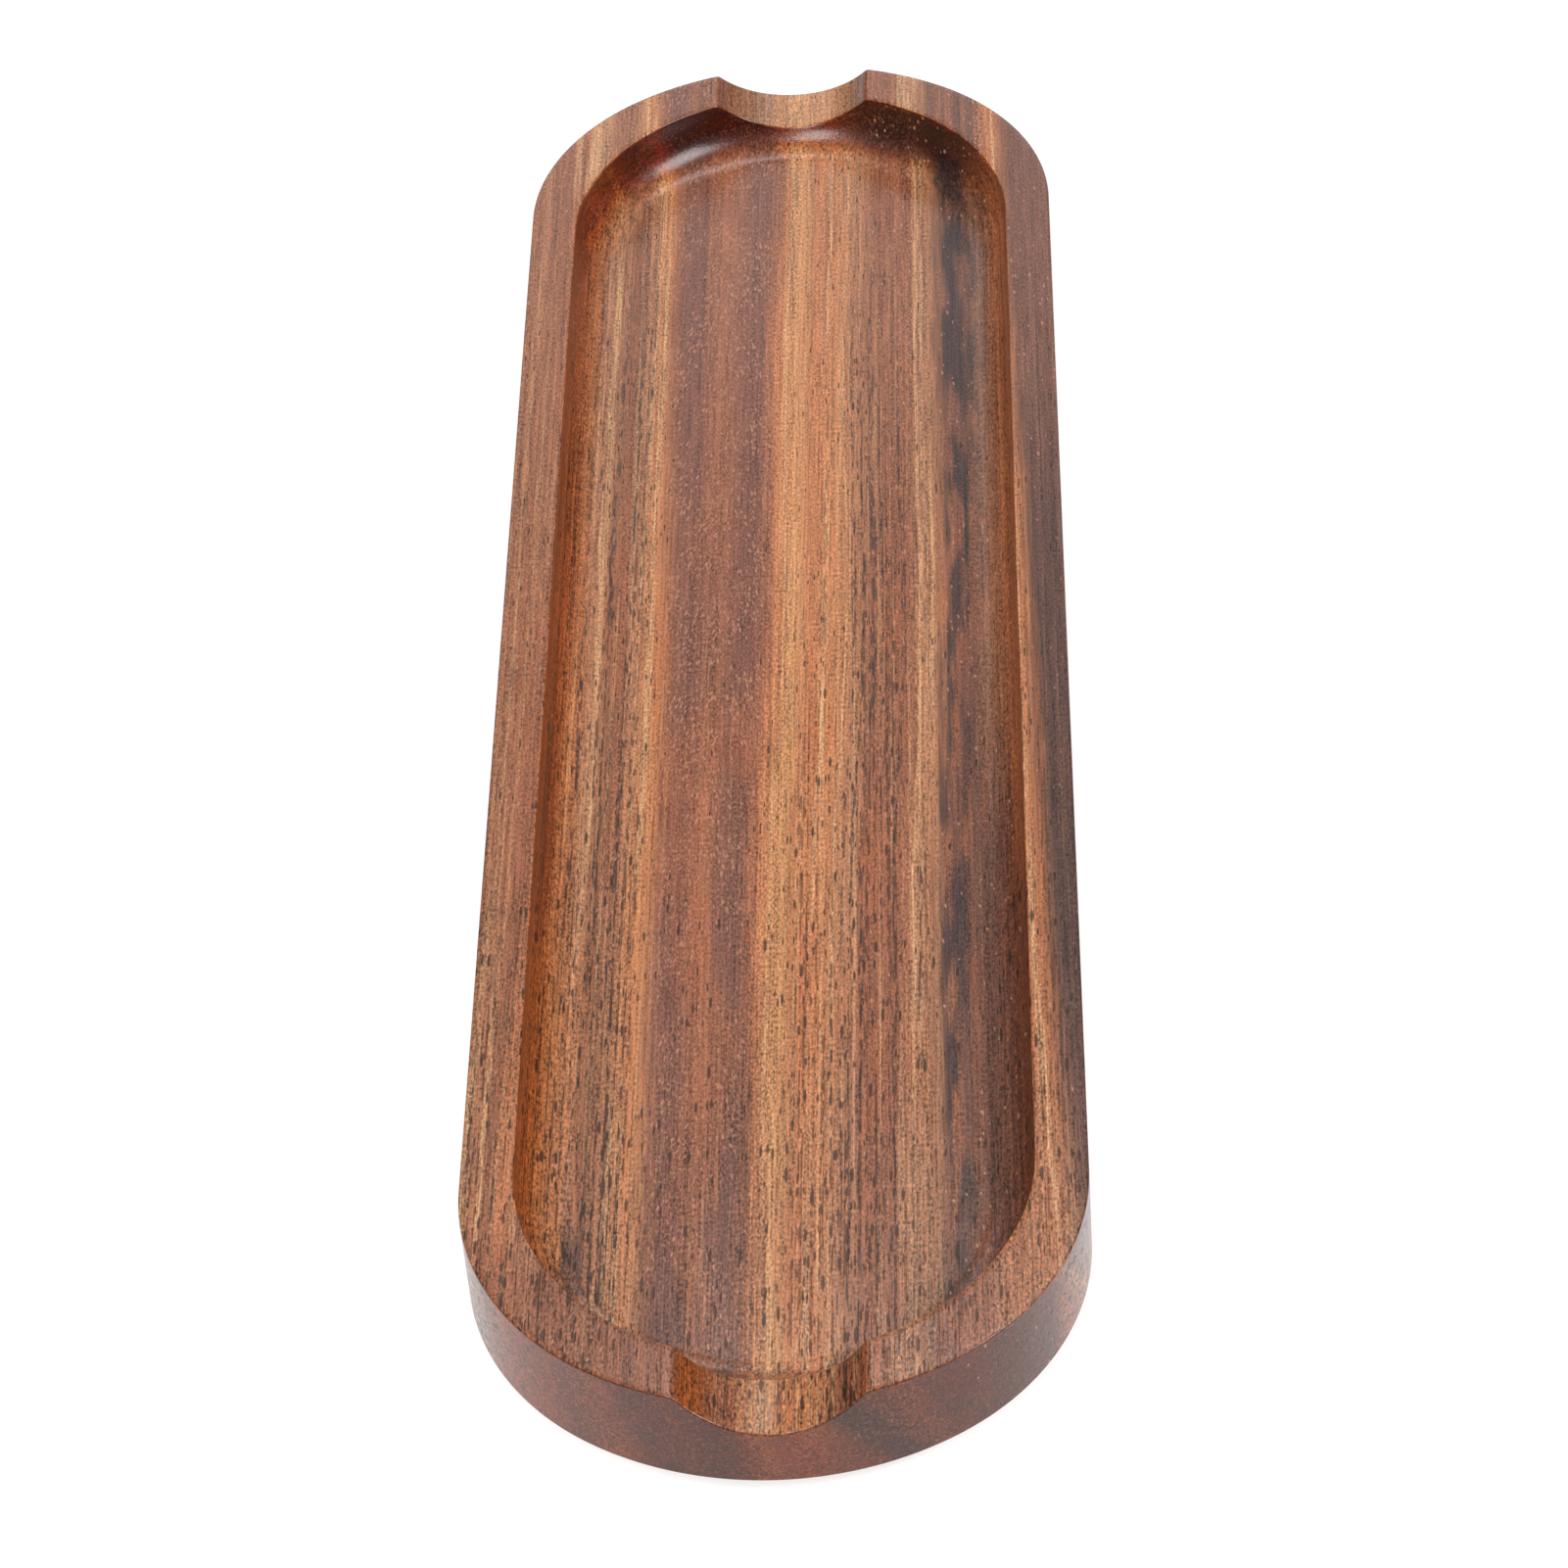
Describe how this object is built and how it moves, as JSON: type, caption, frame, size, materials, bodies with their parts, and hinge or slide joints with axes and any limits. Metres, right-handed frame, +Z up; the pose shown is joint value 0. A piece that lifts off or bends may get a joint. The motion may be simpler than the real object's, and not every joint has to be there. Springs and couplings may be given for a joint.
{
  "type": "spoon rest",
  "caption": "Long wooden spoon rest tray with rounded ends, a coved recess for the spoon's bowl and a round notch through the rim at each end for the handle, on small rubber feet.",
  "frame": {"origin": "below the middle of the tray, on the plane that the feet stand on", "axes": "+Y along the tray's length, away from the viewer of the picture, +X across it to the right, +Z up out of the recess"},
  "size_m": [0.085, 0.3, 0.017],
  "materials": {
    "acacia_wood": "satin lacquer over striped red-brown acacia",
    "foot_rubber": "matt black"
  },
  "bodies": {
    "root": {"tray": "acacia_wood", "foot_near_left": "foot_rubber", "foot_near_right": "foot_rubber", "foot_far_left": "foot_rubber", "foot_far_right": "foot_rubber"}
  },
  "joints": []
}
